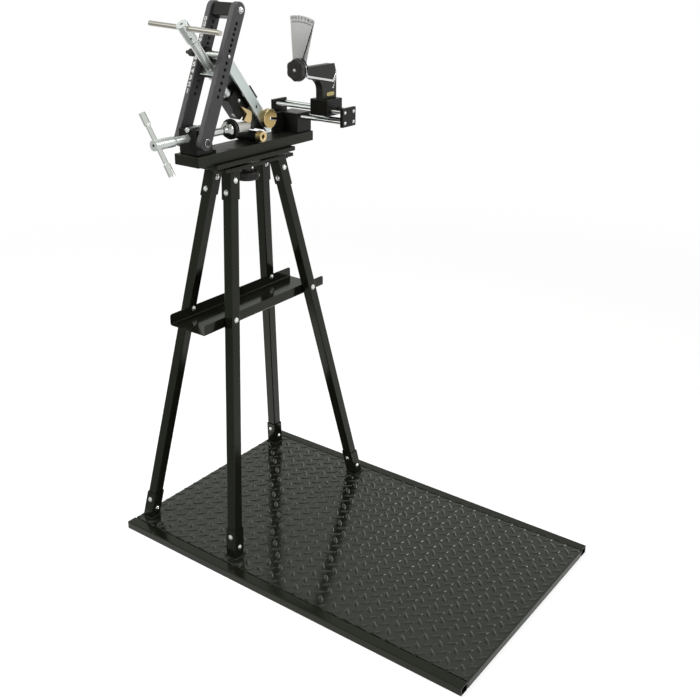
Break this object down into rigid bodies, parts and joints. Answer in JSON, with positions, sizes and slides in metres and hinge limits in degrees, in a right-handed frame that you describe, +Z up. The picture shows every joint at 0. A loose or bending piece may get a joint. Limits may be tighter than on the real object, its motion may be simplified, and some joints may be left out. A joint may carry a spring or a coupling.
{
  "type": "bending machine stand",
  "caption": "Club bending machine with screw clamps, drilled swing frame and sliding loft gauge, on a splayed-leg stand with a tool tray, bolted to a low tread-plate platform.",
  "frame": {"origin": "on the floor under the middle of the platform", "axes": "+X along the platform from the machine's end to the free end, +Y along the machine's base bar towards the gauge, +Z up"},
  "size_m": [1.2192, 0.762, 1.579],
  "materials": {
    "black_paint": "gloss black enamel",
    "tread_paint": "gloss dark grey-green enamel",
    "blacked_steel": "satin black oxide",
    "grey_arm_finish": "matte dark grey",
    "zinc_plate": "bright zinc",
    "chrome": "polished",
    "bright_steel": "bare turned steel",
    "brass": "turned",
    "rubber": "matte",
    "black_plastic": "moulded",
    "grey_dial": "frosted grey"
  },
  "bodies": {
    "stand": {"near_rail": "black_paint", "far_rail": "black_paint", "tread_plate": "tread_paint", "centre_stiffener": "black_paint", "leg_front": "black_paint", "leg_right": "black_paint", "leg_left": "black_paint", "leg_back": "black_paint", "foot_socket_front": "black_paint", "foot_socket_right": "black_paint", "foot_socket_left": "black_paint", "foot_socket_back": "black_paint", "head_socket_front": "black_paint", "head_socket_right": "black_paint", "head_socket_left": "black_paint", "head_socket_back": "black_paint", "stand_top_plate": "black_paint", "tool_shelf": "black_paint"},
    "machine": {"swivel_plate": "black_paint", "swivel_stud": "bright_steel", "base_bar": "blacked_steel", "screw_block": "blacked_steel", "near_pivot_bolt": "zinc_plate", "far_pivot_bolt": "zinc_plate", "vise_body": "blacked_steel", "brass_bush": "brass", "gauge_block": "blacked_steel"},
    "swivel_lock": {"clamp_knob": "black_plastic"},
    "swing_frame": {"near_arm": "grey_arm_finish", "far_arm": "grey_arm_finish", "arm_spreader": "blacked_steel"},
    "pin": {"cross_pin": "bright_steel", "pin_knob": "black_plastic"},
    "clamp": {"clamp_sleeve": "zinc_plate", "near_clamp_plate": "zinc_plate", "clamp_bar": "blacked_steel", "clamp_nut_block": "zinc_plate", "slotted_brass_disc": "brass"},
    "hold_down_jaw": {"jaw_holder": "blacked_steel", "brass_v_jaw": "brass"},
    "hold_down_screw": {"top_screw": "bright_steel", "top_t_bar": "bright_steel"},
    "pad": {"pad_cup": "chrome", "pad_ring": "rubber", "pad_nose": "chrome"},
    "pad_screw": {"side_screw": "zinc_plate", "side_t_bar": "zinc_plate"},
    "rod_frame": {"lower_inner_rod": "zinc_plate", "lower_outer_rod": "zinc_plate", "upper_inner_rod": "zinc_plate", "upper_outer_rod": "zinc_plate", "near_rod_plate": "blacked_steel", "far_rod_plate": "blacked_steel"},
    "carriage": {"gauge_carriage": "blacked_steel", "gauge_post": "blacked_steel"},
    "tilting_arm": {"gauge_arm": "blacked_steel", "gauge_fan": "grey_dial", "gauge_pointer": "bright_steel"},
    "needle": {"loft_needle": "blacked_steel"},
    "dial_lock": {"dial_knob": "black_plastic"}
  },
  "joints": [
    {"name": "machine_swivel", "type": "hinge", "parent": "stand", "child": "machine", "pos_m": [-0.4, 0, 1.1485], "axis": [0, 0, 1], "continuous": true},
    {"name": "swivel_lock_turn", "type": "hinge", "parent": "machine", "child": "swivel_lock", "pos_m": [-0.4, 0, 1.12], "axis": [0, 0, 1], "continuous": true},
    {"name": "frame_swing", "type": "hinge", "parent": "machine", "child": "swing_frame", "pos_m": [-0.4, -0.209, 1.232], "axis": [1, 0, 0], "range_deg": [0, 55]},
    {"name": "pin_pull", "type": "slide", "parent": "swing_frame", "child": "pin", "axis": [1, 0, 0], "range_m": [-0.12, 0]},
    {"name": "clamp_lift", "type": "hinge", "parent": "swing_frame", "child": "clamp", "pos_m": [-0.4, -0.1125, 1.44474], "axis": [1, 0, 0], "range_deg": [0, 30]},
    {"name": "jaw_travel", "type": "slide", "parent": "clamp", "child": "hold_down_jaw", "axis": [0, 0.6266, -0.7793], "range_m": [-0.0301, 0.0061]},
    {"name": "hold_down_turn", "type": "hinge", "parent": "hold_down_jaw", "child": "hold_down_screw", "pos_m": [-0.4, -0.1365, 1.41857], "axis": [0, 0.6266, -0.7793], "range_deg": [-2125.98, 425.2]},
    {"name": "pad_travel", "type": "slide", "parent": "machine", "child": "pad", "axis": [0, 1, 0], "range_m": [-0.0461, 0.0041]},
    {"name": "pad_screw_turn", "type": "hinge", "parent": "pad", "child": "pad_screw", "pos_m": [-0.4, -0.228, 1.2405], "axis": [0, 1, 0], "range_deg": [-3259.84, 283.46]},
    {"name": "rod_slide", "type": "slide", "parent": "machine", "child": "rod_frame", "axis": [1, 0, 0], "range_m": [-0.1, 0.018]},
    {"name": "carriage_slide", "type": "slide", "parent": "rod_frame", "child": "carriage", "axis": [1, 0, 0], "range_m": [-0.14, 0.04]},
    {"name": "gauge_tilt", "type": "hinge", "parent": "carriage", "child": "tilting_arm", "pos_m": [-0.2687, 0.136, 1.3872], "axis": [1, 0, 0], "range_deg": [-10, 10]},
    {"name": "needle_swing", "type": "hinge", "parent": "tilting_arm", "child": "needle", "pos_m": [-0.2895, 0.1115, 1.3941], "axis": [0, 1, 0], "range_deg": [-33, 0]},
    {"name": "dial_lock_turn", "type": "hinge", "parent": "tilting_arm", "child": "dial_lock", "pos_m": [-0.2895, 0.1115, 1.3941], "axis": [0, 1, 0], "continuous": true}
  ],
  "couplings": [
    {"joint": "jaw_travel", "follows": "hold_down_turn", "m_per_rad": 0.00080851},
    {"joint": "pad_travel", "follows": "pad_screw_turn", "m_per_rad": 0.00080851}
  ]
}
